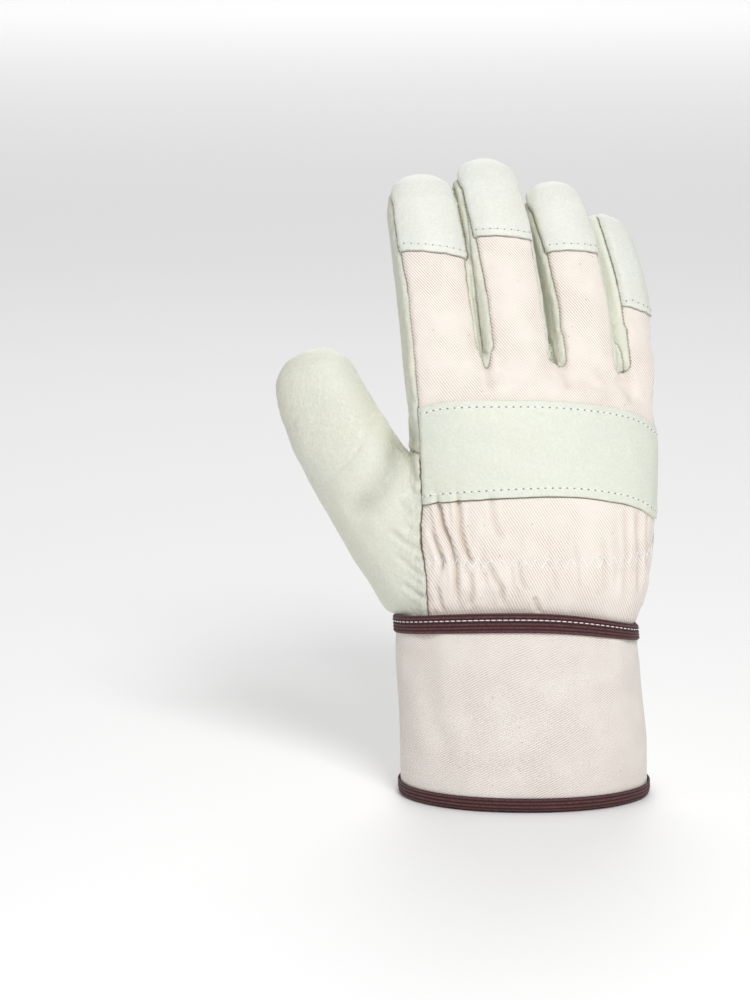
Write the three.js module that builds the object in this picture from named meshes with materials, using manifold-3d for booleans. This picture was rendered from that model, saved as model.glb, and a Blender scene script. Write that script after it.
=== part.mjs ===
// A lined work glove for the right hand, open as it is when worn: leather palm, fingers, thumb and knuckle
// strap, a cotton drill back gathered at the wrist, and a stiff drill cuff bound with braid.
// Millimetres. +Z runs from the cuff's hem to the fingertips, -Y is the back of the hand and -X the thumb's
// side. The origin is the middle of the cuff's mouth, where the hand goes in.
import * as THREE from "three";
import { mergeVertices } from "three/addons/utils/BufferGeometryUtils.js";
import Module from "manifold-3d";

const wasm = await Module();
wasm.setup();

// Driving dimensions.
const WALL = 2.2; // leather or drill with its lining
const CUFF_WALL = 2.0; // two plies of stiffened drill
const LEATHER = 1.2; // a leather piece laid over another
const BRAID = 1.1; // the folded binding
const GAP = 0.3; // clear gap between neighbouring pieces
const CAP_PROUD = 0.7; // how far a fingertip cap stands above the drill
const HEM_BINDING = 5.7; // height of the binding at the hem
const SEAM_BINDING = 6.6; // height of the binding at the cuff's top
const GATHERS = 10; // pleats round the wrist
const GATHER_DEPTH = 1.1;
const GATHER_Z = 99; // height of the elastic across the back
const GATHER_SPREAD = 13;

// Sections of each limb. x, y, z: its centre. lean, sway, roll: degrees towards the palm, towards the little
// finger, and of the back of the limb towards the little finger. wide, deep: half its breadth and thickness.
// square: 2 for an ellipse, more for a boxier section. cup: how far the palm side is hollowed. curl: how far
// the little finger's edge bends towards the palm.
const HAND = [
  { x: -3, y: 1.5, z: 62, lean: 3, sway: 0, roll: 0, wide: 45.8, deep: 25.2, square: 2.2, cup: 0, curl: 0 },
  { x: -2.1, y: 2, z: 76, lean: 5, sway: 0, roll: 0, wide: 47.1, deep: 25.8, square: 2.2, cup: 0, curl: 0 },
  { x: 1.4, y: 3, z: 87, lean: 7, sway: 0, roll: 1, wide: 49.4, deep: 28, square: 2.3, cup: 0.6, curl: 1 },
  { x: 3.4, y: 6.5, z: 103, lean: 9, sway: 0, roll: 3, wide: 50.6, deep: 26.4, square: 2.3, cup: 1.6, curl: 2 },
  { x: 4.2, y: 11.5, z: 125, lean: 13, sway: 0, roll: 6, wide: 51, deep: 24, square: 2.3, cup: 2.6, curl: 4 },
  { x: 4.8, y: 16.5, z: 146, lean: 18, sway: 0, roll: 9, wide: 52, deep: 22, square: 2.35, cup: 1.8, curl: 7 },
  { x: 4.4, y: 21, z: 161, lean: 23, sway: 2, roll: 11, wide: 52.2, deep: 20, square: 2.4, cup: 0.4, curl: 8 },
  { x: 3.4, y: 24.2, z: 168, lean: 27, sway: 4, roll: 12, wide: 50.6, deep: 15.8, square: 2.4, cup: 0, curl: 8 },
  { x: 2.6, y: 26.4, z: 172, lean: 29, sway: 5, roll: 12, wide: 48, deep: 10.6, square: 2.4, cup: 0, curl: 8 },
];
const INDEX = [
  { x: -31, y: 10.5, z: 147, lean: 18, sway: -4, roll: 12, wide: 14.6, deep: 12.6, square: 2.4 },
  { x: -33.4, y: 15.2, z: 174, lean: 20, sway: -6, roll: 12, wide: 15.6, deep: 13.8, square: 2.5 },
  { x: -36.2, y: 24.2, z: 199, lean: 24, sway: -7, roll: 12, wide: 15.2, deep: 13.4, square: 2.5 },
  { x: -39.2, y: 35, z: 220, lean: 30, sway: -9, roll: 12, wide: 14.9, deep: 13, square: 2.5 },
  { x: -41.6, y: 44.5, z: 235.5, lean: 35, sway: -9, roll: 12, wide: 14.5, deep: 12.2, square: 2.5 },
];
const MIDDLE = [
  { x: -1.2, y: 14.5, z: 148, lean: 18, sway: -5, roll: 14, wide: 13.6, deep: 12.8, square: 2.4 },
  { x: -2.6, y: 18.0, z: 174, lean: 20, sway: -8, roll: 16, wide: 14.0, deep: 13.8, square: 2.5 },
  { x: -6.2, y: 27.5, z: 201, lean: 24, sway: -11, roll: 18, wide: 13.9, deep: 13.4, square: 2.5 },
  { x: -11.2, y: 39.0, z: 226, lean: 30, sway: -13, roll: 20, wide: 13.9, deep: 13.0, square: 2.5 },
  { x: -15.0, y: 48.8, z: 241.5, lean: 35, sway: -14, roll: 20, wide: 13.6, deep: 12.2, square: 2.5 },
];
const RING = [
  { x: 26.0, y: 21.0, z: 146, lean: 18, sway: -4, roll: 16, wide: 13.2, deep: 12.4, square: 2.4 },
  { x: 25.2, y: 25.8, z: 171, lean: 20, sway: -7, roll: 18, wide: 13.4, deep: 13.2, square: 2.5 },
  { x: 22.4, y: 34.2, z: 196, lean: 24, sway: -10, roll: 20, wide: 12.8, deep: 12.9, square: 2.5 },
  { x: 18.0, y: 44.6, z: 218, lean: 30, sway: -15, roll: 22, wide: 12.9, deep: 12.5, square: 2.5 },
  { x: 13.7, y: 53.5, z: 232.3, lean: 35, sway: -22, roll: 23, wide: 12.5, deep: 11.8, square: 2.5 },
];
const LITTLE = [
  { x: 41.0, y: 25.0, z: 140, lean: 22, sway: -2, roll: 24, wide: 10.0, deep: 9.0, square: 2.3 },
  { x: 42.8, y: 36.0, z: 168, lean: 32, sway: -5, roll: 34, wide: 12.0, deep: 12.6, square: 2.4 },
  { x: 41.4, y: 51.0, z: 188, lean: 32, sway: -9, roll: 42, wide: 11.7, deep: 12.2, square: 2.4 },
  { x: 38.2, y: 60.5, z: 206, lean: 29, sway: -13, roll: 47, wide: 11.5, deep: 11.8, square: 2.4 },
  { x: 34.8, y: 67.5, z: 218.9, lean: 32, sway: -19, roll: 48, wide: 11.0, deep: 11.0, square: 2.4 },
];
const THUMB = [
  { x: -27.0, y: 7.0, z: 65, lean: 4, sway: -24, roll: -4, wide: 18.0, deep: 19.0, square: 2.1 },
  { x: -37.6, y: 9.5, z: 87, lean: 8, sway: -26, roll: -6, wide: 22.8, deep: 22.5, square: 2.1 },
  { x: -50.4, y: 13.5, z: 107, lean: 11, sway: -28, roll: -8, wide: 23.0, deep: 21.5, square: 2.1 },
  { x: -65.2, y: 18.5, z: 128, lean: 14, sway: -28, roll: -10, wide: 21.0, deep: 19.0, square: 2.15 },
  { x: -77.2, y: 23.8, z: 147, lean: 16, sway: -26, roll: -12, wide: 19.4, deep: 16.8, square: 2.2 },
  { x: -84.5, y: 28.6, z: 163, lean: 17, sway: -20, roll: -12, wide: 18.0, deep: 15.0, square: 2.25 },
];
// The stiff cuff. dip: how far its edge drops at both sides. sag: how far more at the little finger's side.
const CUFF = [
  { x: 0.8, y: 0.0, z: 0, lean: 0, wide: 51.0, deep: 36.6, square: 2.1, dip: 0, sag: 0 },
  { x: 0.3, y: 0.2, z: 24, lean: 1, wide: 51.0, deep: 34.8, square: 2.1, dip: 0.5, sag: 0.4 },
  { x: -1.4, y: 0.8, z: 50, lean: 3, wide: 50.0, deep: 32.0, square: 2.15, dip: 1.5, sag: 1.4 },
  { x: -3.1, y: 1.8, z: 76.3, lean: 5, wide: 49.4, deep: 29.2, square: 2.2, dip: 3.4, sag: 3.7 },
];
// Each finger: its sections, the length of its rounded tip, the seam between drill and leather as a share of
// its half thickness, the height and slope of its cap's hem, and how far its leather reaches below its first
// section.
const FINGERS = {
  index: { rows: INDEX, tip: 14.4, seam: 0.6, capZ: 216.5, capSway: 5, foot: 12 },
  middle: { rows: MIDDLE, tip: 15.0, seam: 0.66, capZ: 222.5, capSway: 0, foot: 0 },
  ring: { rows: RING, tip: 14.0, seam: 0.62, capZ: 216.0, capSway: -3, foot: 0 },
  little: { rows: LITTLE, tip: 12.4, seam: 0.7, capZ: 192.0, capSway: 8, foot: 0 },
};
const THUMB_TIP = 17.5;
const CAP_LEAN = 25;
// The same seam near the tip and past it.
const TIP_SEAM = 0.3;
const PAST_TIP_SEAM = -0.75;
// The same seam on the hand, at a few heights: shares of its half breadth and half thickness at the thumb's
// side and the other.
const SIDE_SEAM = [
  { z: 62, thumbWide: -0.79, thumbDeep: 0.66, littleWide: 1.0, littleDeep: -0.06 },
  { z: 76, thumbWide: -0.79, thumbDeep: 0.66, littleWide: 1.0, littleDeep: -0.06 },
  { z: 87, thumbWide: -0.84, thumbDeep: 0.615, littleWide: 1.0, littleDeep: -0.06 },
  { z: 103, thumbWide: -0.895, thumbDeep: 0.52, littleWide: 1.0, littleDeep: -0.06 },
  { z: 125, thumbWide: -0.93, thumbDeep: 0.45, littleWide: 1.0, littleDeep: -0.06 },
  { z: 146, thumbWide: -0.952, thumbDeep: 0.39, littleWide: 1.0, littleDeep: -0.06 },
  { z: 172, thumbWide: -0.967, thumbDeep: 0.34, littleWide: 1.0, littleDeep: -0.06 },
];
// Where the finger fronts are sewn to the palm, on the palm's face.
const INDEX_BASE = { x: -32, y: 14, z: 140.5, lean: 8 };
const FINGER_BASE = { x: 10, y: 23, z: 166, lean: 27, sway: -3 };
// The seam round the thumb, at a few heights: where it meets the palm side, inside the hollow, and on the
// side by the index finger.
const THUMB_SEAM = [
  { z: 40, palmX: 0, palmY: 62, midX: 0, midY: 4, innerX: -6, sideX: 20, sideY: -70 },
  { z: 76, palmX: -17, palmY: 62, midX: -17, midY: 8, innerX: -18, sideX: 20, sideY: -70 },
  { z: 100, palmX: -40, palmY: 66, midX: -38, midY: 13, innerX: -30, sideX: 20, sideY: -70 },
  { z: 125, palmX: -60, palmY: 70, midX: -58, midY: 20, innerX: -36, sideX: 20, sideY: -70 },
  { z: 140.4, palmX: -71, palmY: 72, midX: -69, midY: 25, innerX: -38, sideX: 20, sideY: -70 },
];
const THUMB_SEAM_ABOVE = [
  { z: 125, palmX: -60, palmY: 70, midX: -58, midY: 20, innerX: -52, sideX: -47.6, sideY: 18 },
  { z: 140.4, palmX: -71, palmY: 72, midX: -69, midY: 25, innerX: -60, sideX: -48.6, sideY: 28 },
  { z: 160, palmX: -82, palmY: 76, midX: -81, midY: 30, innerX: -70, sideX: -56, sideY: 33 },
  { z: 190, palmX: -95, palmY: 80, midX: -94, midY: 37, innerX: -82, sideX: -68, sideY: 38 },
];
// The knuckle strap, drawn from the front: the heights of its two edges along x.
const STRAP = [
  { x: -47, top: 158.4, bottom: 119.6 },
  { x: -34, top: 162.7, bottom: 123.2 },
  { x: -8, top: 163.8, bottom: 125.6 },
  { x: 18, top: 162.4, bottom: 125.8 },
  { x: 36, top: 159.2, bottom: 122.9 },
  { x: 48, top: 154.7, bottom: 118.4 },
  { x: 57, top: 147.0, bottom: 110.5 },
  { x: 66, top: 137.0, bottom: 101.0 },
];
// The patch that runs from the palm down over the cuff, drawn from the palm side.
const PATCH = { x0: 3.5, x1: 45.5, bottom: 41, top: 85, corner: 7 };

const LIMB_SIDES = 14;
const LIMB_BORE_SIDES = 10;
const THUMB_SIDES = 18;
const HAND_SIDES = 50;
const HAND_BORE_SIDES = 24;
const CUFF_SIDES = 28;
const TIP_RINGS = 3;
const FAR = 150; // long enough to pass right through the glove
const COLLAR_REACH = 30;
// How far the cutters pass the surface that they cut.
const REACH = { thumbSide: 4, hand: 14, fingerSide: 0.5, fingerBack: 8, zoneSide: 1.4, zoneDepth: 9 };
// Where a finger's cutters have their further sections, as shares of its tip's length.
const PAST_TIP = [0.62, 1.35];

// Sections

// The section at a height, between a table's rows.
function rowAt(rows, z) {
  const i = rows.findIndex((row, k) => k > 0 && (row.z >= z || k === rows.length - 1));
  const [low, high] = [rows[i - 1], rows[i]];
  const share = (z - low.z) / (high.z - low.z);
  const row = {};
  for (const name of Object.keys(low)) row[name] = THREE.MathUtils.lerp(low[name], high[name], share);
  return row;
}

// A point given across, towards the back and along a section, in the glove's frame.
function place(row, across, back, along) {
  const { degToRad } = THREE.MathUtils;
  const [lean, sway, roll] = [row.lean, row.sway, row.roll].map((angle) => degToRad(angle ?? 0));
  const turn = new THREE.Euler(-lean, sway, roll, "YXZ");
  return new THREE.Vector3(across, -back, along).applyEuler(turn).add(new THREE.Vector3(row.x, row.y, row.z));
}

const bend = (value, square) => Math.sign(value) * Math.abs(value) ** (2 / square);

function gatherAt(row, angle) {
  const near = Math.exp(-(((row.z - GATHER_Z) / GATHER_SPREAD) ** 2));
  const onBack = THREE.MathUtils.smoothstep(Math.sin(angle), 0, 0.35);
  return GATHER_DEPTH * near * onBack * Math.sin(2 * GATHERS * angle);
}

// One ring of a limb, grown outwards by offset. shrink and along are for the rings of a rounded tip.
function ringOf(row, sides, { offset = 0, shrink = 1, along = 0, gathered = false } = {}) {
  const ring = [];
  for (let i = 0; i < sides; i += 1) {
    const angle = (2 * Math.PI * i) / sides;
    const grow = offset + (gathered ? gatherAt(row, angle) : 0);
    const across = (row.wide + grow) * shrink * bend(Math.cos(angle), row.square);
    let back = (row.deep + grow) * shrink * bend(Math.sin(angle), row.square);
    if (back < 0) back += (row.cup ?? 0) * (1 - (across / (row.wide + grow)) ** 2) ** 2;
    back -= (row.curl ?? 0) * Math.max(0, across / row.wide) ** 2;
    const drop = (row.dip ?? 0) * Math.cos(angle) ** 2 + (row.sag ?? 0) * Math.max(0, Math.cos(angle)) ** 2;
    ring.push(place(row, across, back, along - drop));
  }
  return ring;
}

// Solids

// The faces of a skin from one ring of points to the next.
function strip(from, to, sides) {
  const faces = [];
  for (let i = 0; i < sides; i += 1) {
    const j = (i + 1) % sides;
    faces.push(from + i, from + j, to + j, from + i, to + j, to + i);
  }
  return faces;
}

// A closed solid skinned over rings of points, with a flat end at each side.
function skin(rings) {
  const sides = rings[0].length;
  const points = rings.flat();
  const faces = rings.slice(1).flatMap((_, k) => strip(k * sides, (k + 1) * sides, sides));
  [rings[0], rings[rings.length - 1]].forEach((ring, end) => {
    const middle = ring.reduce((sum, p) => sum.add(p), new THREE.Vector3()).divideScalar(sides);
    const first = end * (rings.length - 1) * sides;
    points.push(middle);
    for (let i = 0; i < sides; i += 1) {
      const edge = [first + i, first + ((i + 1) % sides)];
      if (end) faces.push(...edge, points.length - 1);
      else faces.push(edge[1], edge[0], points.length - 1);
    }
  });
  return solid(new THREE.BufferGeometry().setFromPoints(points).setIndex(faces));
}

// A closed band round the arm: each ring is one corner of the band's own outline.
function band(rings) {
  const sides = rings[0].length;
  const faces = rings.flatMap((_, k) => strip(k * sides, ((k + 1) % rings.length) * sides, sides));
  return solid(new THREE.BufferGeometry().setFromPoints(rings.flat()).setIndex(faces));
}

function solid(geometry) {
  const bare = geometry.clone();
  bare.deleteAttribute("normal");
  bare.deleteAttribute("uv");
  const merged = mergeVertices(bare, 1e-4);
  const triVerts = new Uint32Array(merged.index.array);
  const build = (verts) => new wasm.Manifold(
    new wasm.Mesh({ numProp: 3, vertProperties: merged.attributes.position.array, triVerts: verts }),
  );
  const made = build(triVerts);
  if (made.volume() > 0) return made;
  for (let i = 0; i < triVerts.length; i += 3) {
    [triVerts[i + 1], triVerts[i + 2]] = [triVerts[i + 2], triVerts[i + 1]];
  }
  return build(triVerts);
}

const join = (solids) => solids.reduce((sum, one) => sum.add(one));
const largest = (made) => made.decompose().reduce((best, one) => (one.volume() > best.volume() ? one : best));

// A finger or thumb with a round end.
function limb(rows, tip, sides, offset) {
  const last = rows[rows.length - 1];
  const rings = rows.map((row) => ringOf(row, sides, { offset }));
  for (let k = 1; k < TIP_RINGS; k += 1) {
    const turn = (k / TIP_RINGS) * (Math.PI / 2);
    const shrink = Math.cos(turn) ** 0.85;
    rings.push(ringOf(last, sides, { offset, shrink, along: (tip + offset) * Math.sin(turn) }));
  }
  rings.push(ringOf(last, sides, { offset, shrink: 0.08, along: tip + offset }));
  return skin(rings);
}

function hand(offset, sides, gathered) {
  const top = HAND.length - 1;
  return skin(HAND.map((row, i) => ringOf(row, sides, { offset, gathered, along: i === top ? offset : 0 })));
}

// The whole hand form, grown by offset.
function handForm(offset, coarse) {
  const sides = coarse ? LIMB_BORE_SIDES : LIMB_SIDES;
  const fingers = Object.values(FINGERS).map(({ rows, tip }) => limb(rows, tip, sides, offset));
  const thumb = limb(THUMB, THUMB_TIP, coarse ? LIMB_BORE_SIDES : THUMB_SIDES, offset);
  return join([hand(offset, coarse ? HAND_BORE_SIDES : HAND_SIDES, !coarse), thumb, ...fingers]);
}

const cuffRing = (row, offset, lift = 0) => ringOf({ ...row, z: row.z + lift }, CUFF_SIDES, { offset });

// Everything below the cuff's upper edge and outside its throat, where the hand's wall must not be.
function collar(lift, inset) {
  const top = CUFF[CUFF.length - 1];
  return band([
    cuffRing(top, COLLAR_REACH, -FAR),
    cuffRing(top, COLLAR_REACH, lift),
    cuffRing(top, GAP + BRAID, lift),
    cuffRing(top, -inset, lift),
    cuffRing(top, -inset, -FAR),
  ]);
}

// A solid drawn as a four-sided section on each row of a limb, its two ends pushed out by foot and top.
function bar(rows, corners, foot, top = 0) {
  const reach = (i) => (i === rows.length - 1 ? top : 0) - (i === 0 ? foot : 0);
  return skin(rows.map((row, i) => corners(row).map(([across, back]) => place(row, across, back, reach(i)))));
}

// A block that holds all that lies above a section.
function above(row, drop = 0) {
  const corners = [[-FAR, -FAR], [FAR, -FAR], [FAR, FAR], [-FAR, FAR]];
  const at = (along) => corners.map(([across, back]) => place(row, across, back, along));
  return skin([at(-drop), at(2 * FAR)]);
}

// A flat outline in x and z, pulled through the glove from y0 to y1.
function pulled(shape, y0, y1) {
  const geometry = new THREE.ExtrudeGeometry(shape, { depth: y1 - y0, bevelEnabled: false, curveSegments: 8 });
  geometry.rotateX(Math.PI / 2);
  geometry.translate(0, y1, 0);
  return solid(geometry);
}

// Regions of the glove

// A finger's rows with more past its tip, for cutters that have to clear it. seam: where the drill's edge
// runs.
function pastTip({ rows, tip, seam: fingerSeam }) {
  const last = rows[rows.length - 1];
  const further = (share, seam) => {
    const at = place(last, 0, 0, tip * share);
    return { ...last, x: at.x, y: at.y, z: at.z, seam };
  };
  const [near, far] = PAST_TIP;
  const along = rows.map((row) => ({ ...row, seam: fingerSeam }));
  return [...along, further(near, TIP_SEAM), further(far, PAST_TIP_SEAM)];
}

function fingerBack(finger, grow) {
  const around = limb(finger.rows, finger.tip, LIMB_SIDES, 1 + grow);
  const box = bar(pastTip(finger), (row) => {
    const side = row.wide + REACH.fingerSide + grow;
    const seam = row.seam * row.deep - grow;
    const top = row.deep + REACH.fingerBack;
    return [[-side, seam], [side, seam], [side, top], [-side, top]];
  }, grow);
  return box.intersect(around);
}

function handBack(grow) {
  return bar(HAND, (row) => {
    const { thumbWide, thumbDeep, littleWide, littleDeep } = rowAt(SIDE_SEAM, row.z);
    const slope = ((littleDeep - thumbDeep) * row.deep) / ((littleWide - thumbWide) * row.wide);
    const seam = (across) => thumbDeep * row.deep + slope * (across - thumbWide * row.wide) - grow;
    const thumbSide = -row.wide - REACH.thumbSide - grow;
    const littleSide = row.wide + REACH.hand;
    const top = row.deep + REACH.hand;
    return [[thumbSide, seam(thumbSide)], [littleSide, seam(littleSide)], [littleSide, top], [thumbSide, top]];
  }, grow, grow);
}

function backRegion(grow) {
  const fingers = Object.values(FINGERS).map((finger) => fingerBack(finger, grow));
  return join([handBack(grow), ...fingers]);
}

function fingerZone(finger, grow) {
  return bar(pastTip(finger), (row) => {
    const side = row.wide + REACH.zoneSide + grow;
    const depth = row.deep + REACH.zoneDepth;
    return [[-side, -depth], [side, -depth], [side, depth], [-side, depth]];
  }, finger.foot + grow);
}

function thumbZone(grow) {
  const rings = (rows) => rows.map((row) => [
    [row.palmX, row.palmY],
    [row.midX, row.midY],
    [row.innerX, row.midY],
    [row.sideX, row.sideY],
    [row.sideX, -FAR],
    [-2 * FAR, -FAR],
    [-2 * FAR, row.palmY],
  ].map(([x, y]) => new THREE.Vector3(x + grow, y + 2 * grow, row.z + grow)));
  return skin(rings(THUMB_SEAM)).add(skin(rings(THUMB_SEAM_ABOVE)));
}

function strapShape() {
  const points = (edge) => STRAP.map((row) => new THREE.Vector2(row.x, row[edge]));
  const top = points("top").reverse();
  const shape = new THREE.Shape();
  shape.moveTo(STRAP[0].x, STRAP[0].bottom);
  shape.splineThru(points("bottom").slice(1));
  shape.lineTo(top[0].x, top[0].y);
  shape.splineThru(top.slice(1));
  shape.closePath();
  return shape;
}

function patchShape(grow) {
  const { x0, x1, bottom, top, corner } = PATCH;
  const shape = new THREE.Shape();
  shape.moveTo(x0 - grow, top + grow);
  shape.lineTo(x0 - grow, bottom + corner);
  shape.quadraticCurveTo(x0 - grow, bottom - grow, x0 + corner, bottom - grow);
  shape.lineTo(x1 - corner, bottom - grow);
  shape.quadraticCurveTo(x1 + grow, bottom - grow, x1 + grow, bottom + corner);
  shape.lineTo(x1 + grow, top + grow);
  shape.closePath();
  return shape;
}

// Binding folded over the cuff's edge: a channel from that edge to foot. out: 1 for the top edge, -1 for the
// hem.
function binding(edge, foot, out) {
  const inside = -CUFF_WALL - GAP;
  return band([
    cuffRing(foot, GAP + BRAID),
    cuffRing(edge, GAP + BRAID, out * (GAP + BRAID)),
    cuffRing(edge, inside - BRAID, out * (GAP + BRAID)),
    cuffRing(foot, inside - BRAID),
    cuffRing(foot, inside),
    cuffRing(edge, inside, out * GAP),
    cuffRing(edge, GAP, out * GAP),
    cuffRing(foot, GAP),
  ]);
}

// Assembly

const overBinding = BRAID + 2 * GAP;
const throatInset = CUFF_WALL + overBinding + GAP;
const bore = handForm(-WALL, true).subtract(collar(overBinding + WALL, throatInset + WALL));
const form = handForm(0, false).subtract(collar(overBinding, throatInset));
const foot = above({ x: 0, y: 0, z: 66 });
const shell = form.subtract(bore).intersect(foot);
const backRegionCut = backRegion(GAP);
const leather = shell.subtract(backRegionCut);
const thumbCut = thumbZone(GAP);

const capPieces = {};
const fingerPieces = {};
let backDrill = shell.intersect(backRegion(0));
let palm = leather.subtract(thumbCut);
let fingerStock = palm;
for (const [name, finger] of Object.entries(FINGERS)) {
  const hem = { ...rowAt(finger.rows, finger.capZ), lean: CAP_LEAN, sway: finger.capSway, roll: 0 };
  const proud = limb(finger.rows, finger.tip, LIMB_SIDES, CAP_PROUD);
  const hollow = limb(finger.rows, finger.tip, LIMB_BORE_SIDES, -WALL);
  capPieces[name] = largest(proud.subtract(hollow).intersect(fingerBack(finger, 0)).intersect(above(hem)));
  backDrill = backDrill.subtract(above(hem, GAP).intersect(fingerZone(finger, 0.5)));
  const base = name === "index" ? INDEX_BASE : FINGER_BASE;
  fingerPieces[name] = largest(fingerStock.intersect(above(base)).intersect(fingerZone(finger, 0)));
  const taken = above(base, GAP).intersect(fingerZone(finger, GAP));
  fingerStock = fingerStock.subtract(taken);
  palm = palm.subtract(taken);
}
const thumbPiece = largest(leather.intersect(thumbZone(0)));

const cuffTop = CUFF[CUFF.length - 1];
const cuffRows = [rowAt(CUFF, GAP + BRAID), ...CUFF.slice(1)];
const cuffPiece = band([
  ...cuffRows.map((row) => cuffRing(row, 0)),
  ...cuffRows.map((row) => cuffRing(row, -CUFF_WALL)).reverse(),
]);
const hemPiece = binding(cuffRows[0], rowAt(CUFF, HEM_BINDING), -1);
const seamRing = binding(cuffTop, rowAt(CUFF, cuffTop.z + GAP + BRAID - SEAM_BINDING), 1);
const seamPiece = largest(seamRing.subtract(pulled(patchShape(GAP), 0, FAR)));

const overCuff = [...cuffRows, { ...cuffTop, z: PATCH.top + 8, dip: 0, sag: 0 }];
const patchPiece = largest(
  band([
    ...overCuff.map((row) => cuffRing(row, GAP + LEATHER)),
    ...overCuff.map((row) => cuffRing(row, GAP)).reverse(),
  ])
    .intersect(pulled(patchShape(0), 2, FAR))
    .subtract(handForm(GAP, false)),
);

const strapPiece = largest(
  hand(GAP + LEATHER, HAND_SIDES, false)
    .subtract(handForm(GAP, false))
    .intersect(pulled(strapShape(), -FAR, FAR))
    .intersect(handBack(-0.6)),
);

// Colours

const finishes = {
  leather: { color: 0xdfe6d3, roughness: 0.5, metalness: 0 },
  drill: { color: 0xefe3da, roughness: 0.92, metalness: 0 },
  cuffDrill: { color: 0xe9e2da, roughness: 0.9, metalness: 0 },
  braid: { color: 0x45242a, roughness: 0.85, metalness: 0 },
};

const glove = new THREE.Group();

function addPiece(name, finish, made) {
  const mesh = made.getMesh();
  const geometry = new THREE.BufferGeometry();
  geometry.setAttribute("position", new THREE.BufferAttribute(new Float32Array(mesh.vertProperties), 3));
  geometry.setIndex(new THREE.BufferAttribute(new Uint32Array(mesh.triVerts), 1));
  geometry.computeVertexNormals();
  const piece = new THREE.Mesh(geometry, new THREE.MeshStandardMaterial(finishes[finish]));
  piece.name = name;
  glove.add(piece);
}

addPiece("back_drill", "drill", largest(backDrill));
addPiece("palm_leather", "leather", largest(palm));
addPiece("thumb_leather", "leather", thumbPiece);
for (const name of Object.keys(FINGERS)) {
  addPiece(`${name}_front`, "leather", fingerPieces[name]);
  addPiece(`${name}_tip_cap`, "leather", capPieces[name]);
}
addPiece("knuckle_strap", "leather", strapPiece);
addPiece("cuff_drill", "cuffDrill", cuffPiece);
addPiece("cuff_seam_binding", "braid", seamPiece);
addPiece("hem_binding", "braid", hemPiece);
addPiece("pulse_patch", "leather", patchPiece);

export default glove;
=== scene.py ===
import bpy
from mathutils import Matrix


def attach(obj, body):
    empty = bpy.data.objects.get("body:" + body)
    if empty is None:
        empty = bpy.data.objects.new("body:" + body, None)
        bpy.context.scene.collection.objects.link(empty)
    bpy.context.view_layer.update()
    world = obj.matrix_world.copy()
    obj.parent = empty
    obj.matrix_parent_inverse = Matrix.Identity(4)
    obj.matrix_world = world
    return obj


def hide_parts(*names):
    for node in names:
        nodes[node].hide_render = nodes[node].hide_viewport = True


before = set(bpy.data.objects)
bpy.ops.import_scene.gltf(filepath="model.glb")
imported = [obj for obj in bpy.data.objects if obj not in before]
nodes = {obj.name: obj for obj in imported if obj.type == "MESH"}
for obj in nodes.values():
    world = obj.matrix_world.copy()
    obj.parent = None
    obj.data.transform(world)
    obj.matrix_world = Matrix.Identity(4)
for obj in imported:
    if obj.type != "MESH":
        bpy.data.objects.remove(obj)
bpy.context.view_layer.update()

from math import cos, exp, pi, radians, sin, sqrt

import bmesh
import bpy
from mathutils import Matrix, Vector, noise
from mathutils.bvhtree import BVHTree
from mathutils.kdtree import KDTree

mm = 0.001

# Camera, floor and light
# The glove stands on its hem on a white table, seen a little from above and from the back of the hand.
aim = Vector((-61, 0, 122)) * mm
camera_distance = 1500 * mm
camera_height_angle = radians(10)
framed_height = 409 * mm
camera_data = bpy.data.cameras.new("camera")
camera_data.sensor_fit = "VERTICAL"
camera_data.sensor_height = 24
camera_data.lens = 24 * camera_distance / framed_height
camera = bpy.data.objects.new("camera", camera_data)
towards_camera = Vector((0, -cos(camera_height_angle), sin(camera_height_angle)))
camera.location = aim + camera_distance * towards_camera
camera.rotation_euler = (-towards_camera).to_track_quat("-Z", "Y").to_euler()
bpy.context.scene.collection.objects.link(camera)
bpy.context.scene.camera = camera
bpy.context.scene.view_settings.view_transform = "Standard"


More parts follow.
